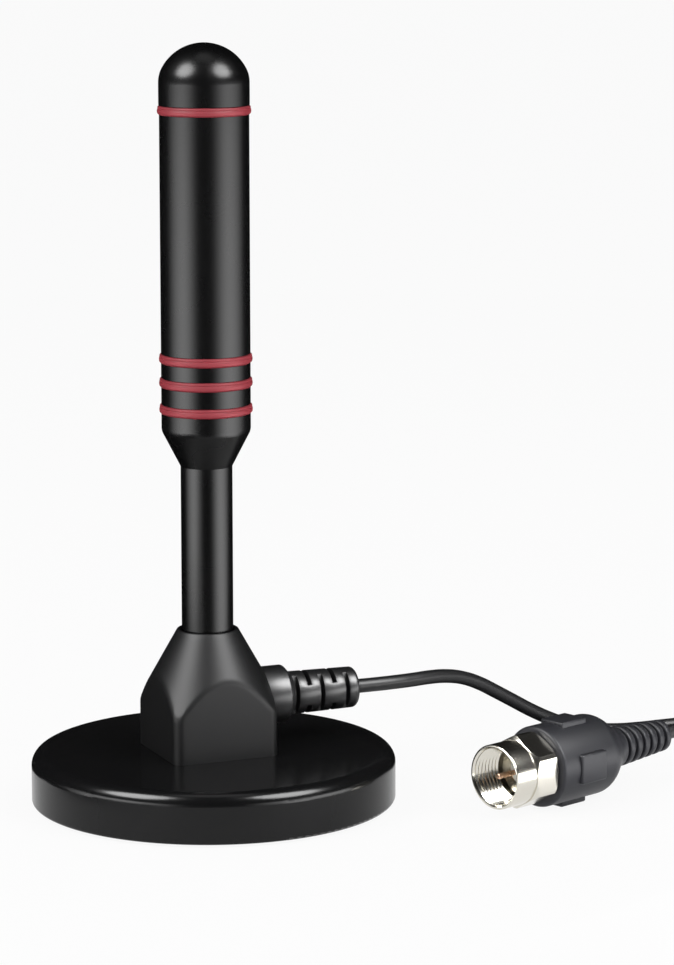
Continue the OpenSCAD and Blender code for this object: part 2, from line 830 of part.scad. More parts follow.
module coupling_nut() {
    turned_r = nut_corner_r - nut_clear;
    color(bright_nickel) on_plug() difference() {
        union() {
            intersection() {
                translate([0, 0, nut_start]) cylinder(r = nut_corner_r, h = nut_hex_l, $fn = 6);
                rotate_extrude() polygon([
                    [0, nut_start], [nut_af / 2, nut_start], [turned_r, nut_start + nut_chamfer],
                    [turned_r, nut_start + nut_hex_l - nut_chamfer],
                    [nut_af / 2, nut_start + nut_hex_l], [0, nut_start + nut_hex_l]
                ]);
            }
            translate([0, 0, nut_start]) cylinder(d = mouth_d, h = nut_l);
        }
        translate([0, 0, nut_start - through]) cylinder(r = ferrule_r + run_gap, h = nut_l);
        translate([0, 0, nut_bore_start]) cylinder(d = thread_bore_d, h = nut_l);
        translate([0, 0, nut_start + nut_l - nut_chamfer])
            cylinder(r1 = thread_bore_d / 2, r2 = thread_bore_d / 2 + nut_chamfer + through,
                h = nut_chamfer + through);
    }
}

foot_pad();
bottom_cover();
cover_screws();
magnet_ring();
keeper_plate();
base_shell();
hub_screws();
ground_lug();
hub_housing();
stem_nut();
stem_tube();
feed_terminal();
feed_rod();
feed_insulator();
reducer_cone();
coil_former();
radiator_coil();
antenna_tube();
lower_ring();
middle_ring();
upper_ring();
top_ring();
dome_cap();
strain_relief();
lead_end();
lead_core();
braid_tail();
signal_lead();
cable_coil();
coil_tie();
plug_tail();
plug_body();
plug_ferrule();
plug_insulator();
centre_pin();
coupling_nut();
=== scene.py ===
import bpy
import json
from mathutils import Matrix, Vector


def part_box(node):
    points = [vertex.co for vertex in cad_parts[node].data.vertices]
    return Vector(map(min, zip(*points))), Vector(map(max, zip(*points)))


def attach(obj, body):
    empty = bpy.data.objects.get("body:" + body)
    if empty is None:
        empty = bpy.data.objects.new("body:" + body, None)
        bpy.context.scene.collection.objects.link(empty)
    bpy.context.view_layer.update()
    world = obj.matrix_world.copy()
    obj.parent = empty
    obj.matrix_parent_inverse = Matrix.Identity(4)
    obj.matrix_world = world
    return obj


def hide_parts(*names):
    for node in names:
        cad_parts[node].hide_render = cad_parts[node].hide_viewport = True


bl_info = {
    "name": "Television antenna",
    "version": (1, 0, 0),
    "blender": (4, 5, 0),
    "location": "View3D > Sidebar > Antenna",
    "description": "Dresses the packed antenna with finished pieces, its lead and a small studio",
    "category": "Object",
}

import json
import math

import bmesh
import bpy
from mathutils import Matrix, Vector

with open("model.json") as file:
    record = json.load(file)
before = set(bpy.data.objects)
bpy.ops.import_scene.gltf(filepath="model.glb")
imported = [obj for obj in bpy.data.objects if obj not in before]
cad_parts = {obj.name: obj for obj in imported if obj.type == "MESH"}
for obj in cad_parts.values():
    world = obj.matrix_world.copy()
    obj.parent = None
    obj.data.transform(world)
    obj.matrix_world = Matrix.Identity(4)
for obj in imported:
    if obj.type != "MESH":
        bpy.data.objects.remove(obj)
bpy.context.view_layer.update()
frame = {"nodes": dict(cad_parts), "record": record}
NODES = frame["nodes"]

MM = 0.001

# Levels and places; those of the hub, mast and strain relief from the imported solids
HUB_LOW, HUB_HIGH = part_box("hub_housing")
MAST_X = (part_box("antenna_tube")[0].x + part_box("antenna_tube")[1].x) / 2
HUB_FACE = HUB_HIGH.x
RELIEF_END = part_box("strain_relief")[1].x
EXIT_HEIGHT = 17 * MM
PLUG_END = Vector((0.076, -0.016, 0.0072))
PLUG_TURN = math.radians(201)
PLUG_FRAME = (
    Matrix.Translation(PLUG_END) @ Matrix.Rotation(PLUG_TURN, 4, "Z") @ Matrix.Rotation(math.pi / 2, 4, "Y")
)

# Where the camera stands, in degrees from -Y towards -X
CAMERA_AZIMUTH = 22.917
# The hub's cone, wall and roof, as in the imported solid
HUB_SLOPE = math.radians(29.4)
HUB_RIM_R = 5.1 * MM
HUB_WALL = 2 * MM
HUB_ROOF = 6.3 * MM
# Share of the floor's colour that is plain white where it is seen, which leaves some shadow
FLOOR_WHITE = 0.92
# Strength of the glowing floor panels that only gloss sees, painted highlights fitted to the bright bands on the
# photograph's tube
PAINTED_HIGHLIGHT_GLOW = 9.2

# Route of the lead from the strain relief to the coil, in millimetres
LEAD_ROUTE = [
    (25.45, 0, 17), (29.5, 0, 17), (33.4, 0.4, 16.95), (37.2, 1.4, 16.8), (41, 2.8, 16.6), (44.9, 4.4, 16.1),
    (48.8, 6, 15.1), (52.6, 7.4, 13.5), (56.4, 8.7, 11.4), (60.4, 9.8, 9.1), (64.4, 10.6, 6.8),
    (68.6, 11.1, 4.7), (72.8, 11.4, 3), (77, 11.5, 2), (81.4, 11.5, 1.4), (86, 11.5, 1.2), (91, 11.5, 1.2),
    (96.4, 11.5, 1.2), (102, 11.5, 1.2), (107.5, 11.6, 1.2), (113, 11.95, 1.2),
]
# Route of the lead from the coil to the plug, in millimetres
TAIL_ROUTE = [
    (113, -24.1, 3.84), (107.5, -24, 3.5), (104, -23, 2.9), (100, -20.6, 2), (96.5, -17.5, 1.5),
    (93, -14.8, 2), (89, -13, 3.6), (85, -12.8, 5.6), (80.7, -14.2, 7.2), (76, -16, 7.2),
]
# Places that the turns of the coil take one after another, as (column, layer)
COIL_CELLS = [
    (4, 1), (3, 1), (2, 1), (1, 1), (1, 2), (1, 3), (1, 4), (2, 4),
    (3, 4), (4, 4), (4, 3), (3, 3), (2, 3), (2, 2), (3, 2), (4, 2),
]
COIL_PLACE = Vector((118, -6))
COIL_TURNS = 15.5
COIL_MID_R = 14


class AntennaSizes(bpy.types.PropertyGroup):
    """Sizes of the details that the finished pieces add"""

    hub_crease: bpy.props.FloatProperty(
        name="Hub crease", description="Rounding where the hub's cone meets its flat sides",
        default=0.35 * MM, min=0.1 * MM, max=1.5 * MM, subtype="DISTANCE", unit="LENGTH",
    )
    hub_edge: bpy.props.FloatProperty(
        name="Hub edge", description="Rounding of the hub's upright edges",
        default=1.5 * MM, min=0.4 * MM, max=2 * MM, subtype="DISTANCE", unit="LENGTH",
    )
    slot_edge: bpy.props.FloatProperty(
        name="Slot edge", description="Rounding of the strain relief's slots",
        default=0.1 * MM, min=0.02 * MM, max=0.2 * MM, subtype="DISTANCE", unit="LENGTH",
    )
    lead_diameter: bpy.props.FloatProperty(
        name="Lead diameter", description="Diameter of the coaxial lead",
        default=2.4 * MM, min=2 * MM, max=3 * MM, subtype="DISTANCE", unit="LENGTH",
    )
    turn_step: bpy.props.FloatProperty(
        name="Turn step", description="Distance from turn to turn in the coil",
        default=2.64 * MM, min=2.4 * MM, max=3 * MM, subtype="DISTANCE", unit="LENGTH",
    )
    tie_width: bpy.props.FloatProperty(
        name="Tie width", description="Width of the tie round the coil",
        default=4 * MM, min=2 * MM, max=6 * MM, subtype="DISTANCE", unit="LENGTH",
    )
    thread_pitch: bpy.props.FloatProperty(
        name="Thread pitch", description="Rise of each turn of the coupling nut's thread",
        default=0.794 * MM, min=0.5 * MM, max=1.5 * MM, subtype="DISTANCE", unit="LENGTH",
    )


def colour(name, description, default):
    return bpy.props.FloatVectorProperty(
        name=name, description=description, default=default, size=3, min=0, max=1, subtype="COLOR"
    )


class AntennaColours(bpy.types.PropertyGroup):
    """Colours of the antenna's finishes"""

    gloss_black: colour("Gloss black", "Polished plastic of the base", (0.008, 0.008, 0.0084))
    lacquer_black: colour("Lacquer black", "Plastic of the mast, with a soft sheen", (0.0025, 0.0025, 0.0027))
    satin_black: colour("Satin black", "Moulded plastic of the hub", (0.004, 0.004, 0.0046))
    ring_red: colour("Ring red", "Silicone rubber of the rings", (0.37, 0.035, 0.05))
    lead_black: colour("Lead black", "Soft sheath of the lead and its strain relief", (0.012, 0.012, 0.013))
    plug_grey: colour("Plug grey", "Moulded rubber of the plug", (0.022, 0.0225, 0.028))
    nickel: colour("Nickel", "Plating of the coupling nut and the ferrule", (0.68, 0.655, 0.59))
    steel: colour("Steel", "Zinc-plated steel of the screws and the keeper plate", (0.5, 0.5, 0.52))
    copper: colour("Copper", "Bright copper wire", (0.6, 0.4, 0.28))
    floor: colour("Floor", "Paper that the antenna stands on", (0.86, 0.86, 0.86))


# Modelling


def start(name):
    """Names the primitive that was just added, puts its place into its mesh and returns it."""
    piece = bpy.context.object
    piece.name = piece.data.name = name
    bpy.ops.object.transform_apply(location=True, rotation=True, scale=True)
    return piece


def alone(piece):
    """Makes a piece the only selected object, and the active one."""
    bpy.ops.object.select_all(action="DESELECT")
    piece.select_set(True)
    bpy.context.view_layer.objects.active = piece


def pick(piece, kind, test):
    """In edit mode, selects only the faces or edges that pass a test."""
    bpy.ops.mesh.select_mode(type=kind)
    bpy.ops.mesh.select_all(action="DESELECT")
    shape = bmesh.from_edit_mesh(piece.data)
    for part in shape.edges if kind == "EDGE" else shape.faces:
        if test(part):
            part.select_set(True)
    bmesh.update_edit_mesh(piece.data)


def clean(piece):
    """Merges doubles and turns every face outwards."""
    alone(piece)
    bpy.ops.object.mode_set(mode="EDIT")
    bpy.ops.mesh.select_all(action="SELECT")
    bpy.ops.mesh.remove_doubles(threshold=5e-6)
    bpy.ops.mesh.delete_loose()
    bpy.ops.mesh.select_all(action="SELECT")
    bpy.ops.mesh.normals_make_consistent(inside=False)
    bpy.ops.object.mode_set(mode="OBJECT")


def rounded(corners, steps=6):
    """Outline through (radius, height, rounding) corners, each rounded corner drawn as an arc."""
    points = []
    for i, (radius, height, size) in enumerate(corners):
        here = Vector((radius, height))
        if not size:
            points.append(here)
            continue
        back = (Vector(corners[i - 1][:2]) - here).normalized()
        ahead = (Vector(corners[(i + 1) % len(corners)][:2]) - here).normalized()
        half = back.angle(ahead) / 2
        middle = here + (back + ahead).normalized() * size / math.sin(half)
        first = here + back * size / math.tan(half) - middle
        last = here + ahead * size / math.tan(half) - middle
        bend = first.angle(last)
        for k in range(steps + 1):
            t = k / steps
            points.append(middle + (first * math.sin((1 - t) * bend) + last * math.sin(t * bend)) / math.sin(bend))
    return points


def turned(name, outline, place, steps=96):
    """Spins a closed outline of (radius, height) points, in millimetres, round the Z axis of a place."""
    bpy.ops.object.select_all(action="DESELECT")
    bpy.ops.mesh.primitive_circle_add(vertices=len(outline), radius=MM)
    piece = start(name)
    for corner, (radius, height) in zip(piece.data.vertices, outline):
        corner.co = place @ Vector((radius * MM, 0, height * MM))
    bpy.ops.object.mode_set(mode="EDIT")
    bpy.ops.mesh.select_all(action="SELECT")
    bpy.ops.mesh.spin(
        steps=steps, angle=math.tau, center=place.translation, axis=place.to_3x3() @ Vector((0, 0, 1))
    )
    bpy.ops.object.mode_set(mode="OBJECT")
    clean(piece)
    return piece


def block(name, low, high, place=Matrix.Identity(4)):
    """Box between two corners, in metres in a place's frame."""
    low, high = Vector(low), Vector(high)
    bpy.ops.object.select_all(action="DESELECT")
    bpy.ops.mesh.primitive_cube_add(size=1, location=(low + high) / 2, scale=high - low)
    piece = start(name)
    piece.matrix_world = place
    bpy.ops.object.transform_apply(location=True, rotation=True, scale=True)
    return piece


def combine(piece, other, operation):
    """Cuts, adds or crosses a piece with another, which is used up."""
    alone(piece)
    step = piece.modifiers.new("combine", "BOOLEAN")
    step.object = other
    step.operation = operation
    step.solver = "EXACT"
    bpy.ops.object.modifier_apply(modifier=step.name)
    bpy.data.objects.remove(other)


def soften(piece, width, angle=30, segments=3):
    """Bevels every edge sharper than an angle."""
    alone(piece)
    step = piece.modifiers.new("soften", "BEVEL")
    step.width = width
    step.segments = segments
    step.limit_method = "ANGLE"
    step.angle_limit = math.radians(angle)
    step.use_clamp_overlap = True
    bpy.ops.object.modifier_apply(modifier=step.name)


def finish(piece, finish_name, body="antenna", smooth=35):
    """Shades a piece, gives it its finish and lets it ride on its body."""
    alone(piece)
    if piece.type == "MESH":
        bpy.ops.object.shade_smooth_by_angle(angle=math.radians(smooth))
    piece.data.materials.clear()
    piece.data.materials.append(FINISHES[finish_name]())
    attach(piece, body)
    return piece


# Finishes


def new_group(name, inputs, outputs):
    """Empty shader node group with named inputs and outputs."""
    group = bpy.data.node_groups.new(name, "ShaderNodeTree")
    for label, kind, default in inputs:
        socket = group.interface.new_socket(label, in_out="INPUT", socket_type=kind)
        socket.default_value = default
    for label, kind in outputs:
        group.interface.new_socket(label, in_out="OUTPUT", socket_type=kind)
    return group, group.nodes.new("NodeGroupInput"), group.nodes.new("NodeGroupOutput")


def grain_group():
    """Fine grain of moulded plastic, with slow clouds in it."""
    group = bpy.data.node_groups.get("moulded grain")
    if group:
        return group
    group, inside, outside = new_group(
        "moulded grain",
        [("Grain Scale", "NodeSocketFloat", 2500.0), ("Cloud Scale", "NodeSocketFloat", 60.0)],
        [("Height", "NodeSocketFloat"), ("Clouds", "NodeSocketFloat")],
    )
    nodes, links = group.nodes, group.links
    where = nodes.new("ShaderNodeTexCoord")
    fine, slow = nodes.new("ShaderNodeTexNoise"), nodes.new("ShaderNodeTexNoise")
    fine.inputs["Detail"].default_value = 3
    slow.inputs["Detail"].default_value = 4
    links.new(where.outputs["Object"], fine.inputs["Vector"])
    links.new(where.outputs["Object"], slow.inputs["Vector"])
    links.new(inside.outputs["Grain Scale"], fine.inputs["Scale"])
    links.new(inside.outputs["Cloud Scale"], slow.inputs["Scale"])
    links.new(fine.outputs["Fac"], outside.inputs["Height"])
    links.new(slow.outputs["Fac"], outside.inputs["Clouds"])
    return group


def handling_group():
    """Faint rubbed patches and short hairline scratches from handling."""
    group = bpy.data.node_groups.get("handling")
    if group:
        return group
    group, inside, outside = new_group(
        "handling",
        [("Scale", "NodeSocketFloat", 140.0), ("Amount", "NodeSocketFloat", 0.5)],
        [("Rub", "NodeSocketFloat")],
    )
    nodes, links = group.nodes, group.links
    where = nodes.new("ShaderNodeTexCoord")
    stretch = nodes.new("ShaderNodeMapping")
    stretch.inputs["Scale"].default_value = (1.0, 1.0, 0.12)
    stretch.inputs["Rotation"].default_value = (0.5, 0.3, 0.0)
    noise, ramp, amount = nodes.new("ShaderNodeTexNoise"), nodes.new("ShaderNodeMapRange"), nodes.new("ShaderNodeMath")
    noise.inputs["Detail"].default_value = 6
    ramp.inputs["From Min"].default_value = 0.52
    ramp.inputs["From Max"].default_value = 0.72
    amount.operation = "MULTIPLY"
    links.new(where.outputs["Object"], stretch.inputs["Vector"])
    links.new(stretch.outputs["Vector"], noise.inputs["Vector"])
    links.new(inside.outputs["Scale"], noise.inputs["Scale"])
    links.new(noise.outputs["Fac"], ramp.inputs["Value"])
    links.new(ramp.outputs["Result"], amount.inputs[0])
    links.new(inside.outputs["Amount"], amount.inputs[1])
    links.new(amount.outputs["Value"], outside.inputs["Rub"])
    return group


def surface(name, base, roughness, vary=0.06, tone=0.25, grain=2500.0, clouds=60.0, bump=0.05, depth=0.00002,
            rub=0.4, **plain):
    """Material with grain in its bump, clouds in its colour and rubbed patches in its roughness."""
    material = bpy.data.materials.get(name)
    if material:
        return material
    material = bpy.data.materials.new(name)
    material.use_nodes = True
    nodes, links = material.node_tree.nodes, material.node_tree.links
    shader = nodes["Principled BSDF"]
    for label, value in plain.items():
        shader.inputs[label.replace("_", " ")].default_value = value
    texture = nodes.new("ShaderNodeGroup")
    texture.node_tree = grain_group()
    texture.inputs["Grain Scale"].default_value = grain
    texture.inputs["Cloud Scale"].default_value = clouds
    wear = nodes.new("ShaderNodeGroup")
    wear.node_tree = handling_group()
    wear.inputs["Amount"].default_value = rub
    shade = nodes.new("ShaderNodeMix")
    shade.data_type = "RGBA"
    light = [min(1.0, c * (1 + tone)) for c in base]
    dark = [c * (1 - tone) for c in base]
    shade.inputs["A"].default_value = (*dark, 1)
    shade.inputs["B"].default_value = (*light, 1)
    links.new(texture.outputs["Clouds"], shade.inputs["Factor"])
    links.new(shade.outputs["Result"], shader.inputs["Base Color"])
    spread = nodes.new("ShaderNodeMapRange")
    spread.inputs["To Min"].default_value = roughness - vary
    spread.inputs["To Max"].default_value = roughness + vary
    links.new(texture.outputs["Clouds"], spread.inputs["Value"])
    rubbed = nodes.new("ShaderNodeMath")
    rubbed.operation = "MULTIPLY_ADD"
    rubbed.inputs[1].default_value = vary
    links.new(wear.outputs["Rub"], rubbed.inputs[0])
    links.new(spread.outputs["Result"], rubbed.inputs[2])
    links.new(rubbed.outputs["Value"], shader.inputs["Roughness"])
    relief = nodes.new("ShaderNodeBump")
    relief.inputs["Strength"].default_value = bump
    relief.inputs["Distance"].default_value = depth
    links.new(texture.outputs["Height"], relief.inputs["Height"])
    links.new(relief.outputs["Normal"], shader.inputs["Normal"])
    return material


def tints():
    return bpy.context.scene.antenna_colours


FINISHES = {
    "black_gloss": lambda: surface(
        "polished black", tints().gloss_black, 0.19, 0.03, grain=900.0, bump=0.015, Specular_IOR_Level=0.22),
    "black_lacquer": lambda: surface(
        "black lacquer", tints().lacquer_black, 0.27, 0.03, grain=1800.0, bump=0.03, Specular_IOR_Level=0.22),
    "black_satin": lambda: surface(
        "satin black", tints().satin_black, 0.46, 0.04, grain=3200.0, bump=0.12, Specular_IOR_Level=0.25),
    "red_ring": lambda: surface(
        "crimson silicone", tints().ring_red, 0.45, 0.05, tone=0.12, grain=2600.0, bump=0.05,
        Specular_IOR_Level=0.25),
    "cable_rubber": lambda: surface(
        "soft black sheath", tints().lead_black, 0.42, 0.05, grain=3500.0, bump=0.06, Specular_IOR_Level=0.35),
    "relief_rubber": lambda: surface(
        "strain relief rubber", tints().lead_black, 0.36, 0.04, grain=3500.0, bump=0.06, Specular_IOR_Level=0.6),
    "foot_rubber": lambda: surface(
        "foot rubber", (0.02, 0.02, 0.021), 0.8, 0.08, grain=2000.0, bump=0.3),
    "plug_rubber": lambda: surface(
        "moulded plug rubber", tints().plug_grey, 0.46, 0.05, grain=3200.0, bump=0.12, Specular_IOR_Level=0.3),
    "nickel": lambda: surface(
        "bright nickel", tints().nickel, 0.17, 0.04, tone=0.05, grain=1500.0, bump=0.02, rub=0.6, Metallic=1.0),
    "steel": lambda: surface(
        "plated steel", tints().steel, 0.32, 0.08, tone=0.08, grain=1200.0, bump=0.06, Metallic=1.0),
    "ferrite": lambda: surface(
        "sintered ferrite", (0.05, 0.05, 0.055), 0.65, 0.08, grain=2500.0, bump=0.35),
    "brass": lambda: surface(
        "turned brass", (0.62, 0.46, 0.2), 0.28, 0.06, tone=0.08, grain=1500.0, bump=0.04, Metallic=1.0),
    "copper": lambda: surface(
        "bright copper", tints().copper, 0.25, 0.06, tone=0.1, grain=1500.0, bump=0.04, Metallic=1.0),
    "white_plastic": lambda: surface(
        "natural polyethylene", (0.8, 0.79, 0.74), 0.5, 0.06, tone=0.03, grain=2500.0, bump=0.08),
}


def background_rays(nodes, links):
    """1 for camera, glossy and transmission rays, which see the background, 0 for those that light the object."""
    path = nodes.new("ShaderNodeLightPath")
    either, seen = nodes.new("ShaderNodeMath"), nodes.new("ShaderNodeMath")
    either.operation = seen.operation = "MAXIMUM"
    links.new(path.outputs["Is Camera Ray"], either.inputs[0])
    links.new(path.outputs["Is Glossy Ray"], either.inputs[1])
    links.new(either.outputs["Value"], seen.inputs[0])
    links.new(path.outputs["Is Transmission Ray"], seen.inputs[1])
    return seen.outputs["Value"]


def black_cloth(name):
    """Matt black material, and its shader."""
    material = bpy.data.materials.new(name)
    material.use_nodes = True
    shader = material.node_tree.nodes["Principled BSDF"]
    shader.inputs["Base Color"].default_value = (0.01, 0.01, 0.01, 1)
    shader.inputs["Roughness"].default_value = 1
    shader.inputs["Specular IOR Level"].default_value = 0
    return material, shader


# Operators


class MakeCamera(bpy.types.Operator):
    """Sets the camera that was fitted to the photograph's outline"""

    bl_idname = "antenna.make_camera"
    bl_label = "Set the camera"

    def execute(self, context):
        azimuth, pitch, roll = math.radians(CAMERA_AZIMUTH), math.radians(7.658), math.radians(-0.117)
        ahead = Vector((math.sin(azimuth) * math.cos(pitch), math.cos(azimuth) * math.cos(pitch), -math.sin(pitch)))
        level = Vector((math.cos(azimuth), -math.sin(azimuth), 0))
        upright = level.cross(ahead)
        right = level * math.cos(roll) + upright * math.sin(roll)
        up = upright * math.cos(roll) - level * math.sin(roll)
        data = bpy.data.cameras.new("photo_camera")
        data.sensor_width = 36
        data.lens = 136.19
        data.shift_y = -0.15
        data.clip_start, data.clip_end = 0.05, 30
        camera = bpy.data.objects.new("photo_camera", data)
        context.scene.collection.objects.link(camera)
        axes = Matrix((right, up, -ahead)).transposed().to_4x4()
        camera.matrix_world = Matrix.Translation((-0.21365, -0.55884, 0.1586)) @ axes
        context.scene.camera = camera
        return {"FINISHED"}


def coil_point(turn, step, tight):
    """Point of the lead's centre after so many degrees of winding, in millimetres."""
    width, stagger, leadin = 84, 20, 330
    column, layer = COIL_CELLS[0]
    moment = leadin
    for k in range(1, len(COIL_CELLS)):
        before, after = COIL_CELLS[k - 1], COIL_CELLS[k]
        share = min(max((turn - moment) / width + 0.5, 0), 1)
        share = 0.5 - 0.5 * math.cos(math.pi * share)
        column += share * (after[0] - before[0])
        layer += share * (after[1] - before[1])
        if k + 1 < len(COIL_CELLS):
            beyond = COIL_CELLS[k + 1]
            straight = (after[0] - before[0], after[1] - before[1]) == (beyond[0] - after[0], beyond[1] - after[1])
            moment += 360 if straight else 360 - stagger
    angle = math.radians(90 - turn)
    off_tie = (90 - turn + 180) % 360 - 180
    pitch = step + (tight - step) * math.exp(-((off_tie / 26) ** 2))
    radius = COIL_MID_R + (column - 2.5) * pitch
    height = (3 * step + 2.4) / 2 + (layer - 2.5) * pitch
    return (COIL_PLACE.x + radius * math.cos(angle), COIL_PLACE.y + radius * math.sin(angle), height)


class MakeLead(bpy.types.Operator):
    """Lays the coaxial lead from the strain relief through its coil to the plug, and ties the coil"""

    bl_idname = "antenna.make_lead"
    bl_label = "Lay the lead"

    def execute(self, context):
        sizes = context.scene.antenna_sizes
        step = sizes.turn_step / MM
        around = round(18 * COIL_TURNS)
        coil = [coil_point(i * COIL_TURNS * 360 / around, step, 2.42) for i in range(around + 1)]
        route = [Vector(p) * MM for p in LEAD_ROUTE + coil + TAIL_ROUTE]
        curve = bpy.data.curves.new("signal_lead_sheath", "CURVE")
        curve.dimensions = "3D"
        curve.resolution_u = 5
        curve.bevel_depth = sizes.lead_diameter / 2
        curve.bevel_resolution = 5
        curve.use_fill_caps = True
        spline = curve.splines.new("BEZIER")
        spline.bezier_points.add(len(route) - 1)
        for knot, point in zip(spline.bezier_points, route):
            knot.co = point
            knot.handle_left_type = knot.handle_right_type = "AUTO"
        lead = bpy.data.objects.new("signal_lead_sheath", curve)
        context.scene.collection.objects.link(lead)
        curve.materials.append(FINISHES["cable_rubber"]())
        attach(lead, "antenna")
        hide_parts("signal_lead", "cable_coil", "plug_tail")
        tie = self.make_tie(sizes)
        return {"FINISHED"}

    def make_tie(self, sizes):
        """Flat strip round the coil, with its two twisted ends."""
        half, corner, thick = 5.16, 1.2, 0.33
        loop = rounded([(x * half, half + z * half, corner) for x, z in ((-1, -1), (1, -1), (1, 1), (-1, 1))], 5)
        bpy.ops.object.select_all(action="DESELECT")
        bpy.ops.mesh.primitive_circle_add(vertices=len(loop), radius=MM)
        tie = start("coil_tie_strip")
        for corner_point, (x, z) in zip(tie.data.vertices, loop):
            corner_point.co = Vector((COIL_PLACE.x + COIL_MID_R + x, COIL_PLACE.y, z)) * MM
            corner_point.co.y -= sizes.tie_width / 2
        bpy.ops.object.mode_set(mode="EDIT")
        bpy.ops.mesh.select_all(action="SELECT")
        bpy.ops.mesh.extrude_region_move(TRANSFORM_OT_translate={"value": (0, sizes.tie_width, 0)})
        bpy.ops.mesh.select_all(action="SELECT")
        bpy.ops.mesh.normals_make_consistent(inside=False)
        bpy.ops.object.mode_set(mode="OBJECT")
        wall = tie.modifiers.new("wall", "SOLIDIFY")
        wall.thickness = thick * MM
        wall.offset = -1
        bpy.ops.object.modifier_apply(modifier=wall.name)
        soften(tie, 0.08 * MM, 40, 2)
        # The two ends are twisted round each other
        lean = Matrix.Translation(
            Vector((COIL_PLACE.x + COIL_MID_R + half - 1.2, COIL_PLACE.y, half)) * MM
        ) @ Matrix.Rotation(math.radians(60), 4, "Y")
        for side in (0, 180):
            bpy.ops.object.select_all(action="DESELECT")
            bpy.ops.mesh.primitive_circle_add(vertices=8, radius=0.42 * MM, location=(0.42 * MM, 0, 0))
            strand = start("strand")
            strand.data.transform(Matrix.Rotation(math.pi / 2, 4, "X"))
            strand.data.transform(Matrix.Rotation(math.radians(side), 4, "Z"))
            twist = strand.modifiers.new("twist", "SCREW")
            twist.axis = "Z"
            twist.screw_offset = 2.6 * MM
            twist.iterations = 3
            twist.steps = twist.render_steps = 20
            alone(strand)
            bpy.ops.object.modifier_apply(modifier=twist.name)
            strand.data.transform(lean)
            bpy.ops.object.mode_set(mode="EDIT")
            bpy.ops.mesh.select_all(action="SELECT")
            bpy.ops.mesh.fill_holes(sides=8)
            bpy.ops.object.mode_set(mode="OBJECT")
            clean(strand)
            alone(tie)
            strand.select_set(True)
            bpy.ops.object.join()
        finish(tie, "black_satin")
        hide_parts("coil_tie")
        return tie


class MakeHub(bpy.types.Operator):
    """Models the hub, a square block whose top is turned to a cone"""

    bl_idname = "antenna.make_hub"
    bl_label = "Model the hub"

    def reach(self, angle, half, edge):
        """Distance from the axis to the side of a rounded square, in the direction of an angle."""
        ahead = Vector((abs(math.cos(angle)), abs(math.sin(angle))))
        if ahead.x < ahead.y:
            ahead = Vector((ahead.y, ahead.x))
        inner = half - edge
        if half * ahead.y <= inner * ahead.x:
            return half / ahead.x
        along = inner * (ahead.x + ahead.y)
        return along + math.sqrt(along * along - 2 * inner * inner + edge * edge)

    def hub_form(self, name, half, edge, rim, levels, blend):
        """Skin round the mast. Each level has a height, and the cone's radius there or a plain radius."""
        inner = half - edge
        side = [math.atan(inner * k / 12 / half) for k in range(13)]
        bend = [side[-1] + (math.pi / 4 - side[-1]) * k / 6 for k in range(1, 7)]
        eighth = side + bend
        quarter = eighth + [math.pi / 2 - a for a in reversed(eighth[1:-1])]
        angles = [a + math.pi / 2 * k for k in range(4) for a in quarter]
        bpy.ops.object.select_all(action="DESELECT")
        bpy.ops.mesh.primitive_grid_add(x_subdivisions=len(angles), y_subdivisions=len(levels) - 1, size=2)
        hub = start(name)
        for corner in hub.data.vertices:
            angle = angles[round((corner.co.x + 1) / 2 * len(angles)) % len(angles)]
            height, radius, shaped = levels[round((corner.co.y + 1) / 2 * (len(levels) - 1))]
            if shaped:
                wall = self.reach(angle, half, edge)
                share = max(blend - abs(wall - radius), 0) / blend
                radius = min(wall, radius) - share * share * blend / 4
            corner.co = (MAST_X + radius * math.cos(angle), radius * math.sin(angle), height)
        clean(hub)
        return hub

    def execute(self, context):
        sizes = context.scene.antenna_sizes
        low, high = HUB_LOW.z, HUB_HIGH.z
        half = HUB_HIGH.x - MAST_X
        slope = math.tan(HUB_SLOPE)
        rim = HUB_RIM_R
        heights = [low, low + 0.1 * MM, low + 2 * MM] + [low + (4 + 0.3 * k) * MM for k in range(40)]
        heights += [high - 4 * MM, high - 3 * MM, high - 2 * MM, high - 1 * MM]
        levels = [(low, 0, False)] + [(z, rim + (high - z) * slope, True) for z in heights]
        levels += [(high - drop * MM, rim - back * MM, False) for drop, back in (
            (0.15, -0.08), (0.06, -0.01), (0.01, 0.07), (0, 0.16), (0.01, 0.48), (0.05, 0.54), (0.5, 0.55), (0.5, 5.1)
        )]
        hub = self.hub_form("hub_shell", half, sizes.hub_edge, rim, levels, sizes.hub_crease)
        # Hollow under the roof, then the hole that the strain relief snaps into
        roof = high - HUB_ROOF
        between = [low + 0.6 * k * MM for k in range(1, 24) if low + 0.6 * k * MM < roof]
        inside = [(low - 0.01 * MM, 0, False)] + [
            (z, rim - 2.3 * MM + (high - z) * slope, True) for z in [low - 0.01 * MM] + between + [roof]
        ] + [(roof, 0, False)]
        combine(hub, self.hub_form("hollow", half - HUB_WALL, 0.4 * MM, rim, inside, 0.1 * MM), "DIFFERENCE")
        bpy.ops.object.select_all(action="DESELECT")
        bpy.ops.mesh.primitive_cylinder_add(
            vertices=64, radius=3.25 * MM, depth=4 * MM, location=(HUB_FACE - MM, 0, EXIT_HEIGHT),
            rotation=(0, math.pi / 2, 0)
        )
        combine(hub, start("exit_hole"), "DIFFERENCE")
        finish(hub, "black_satin", smooth=30)
        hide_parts("hub_housing")
        return {"FINISHED"}


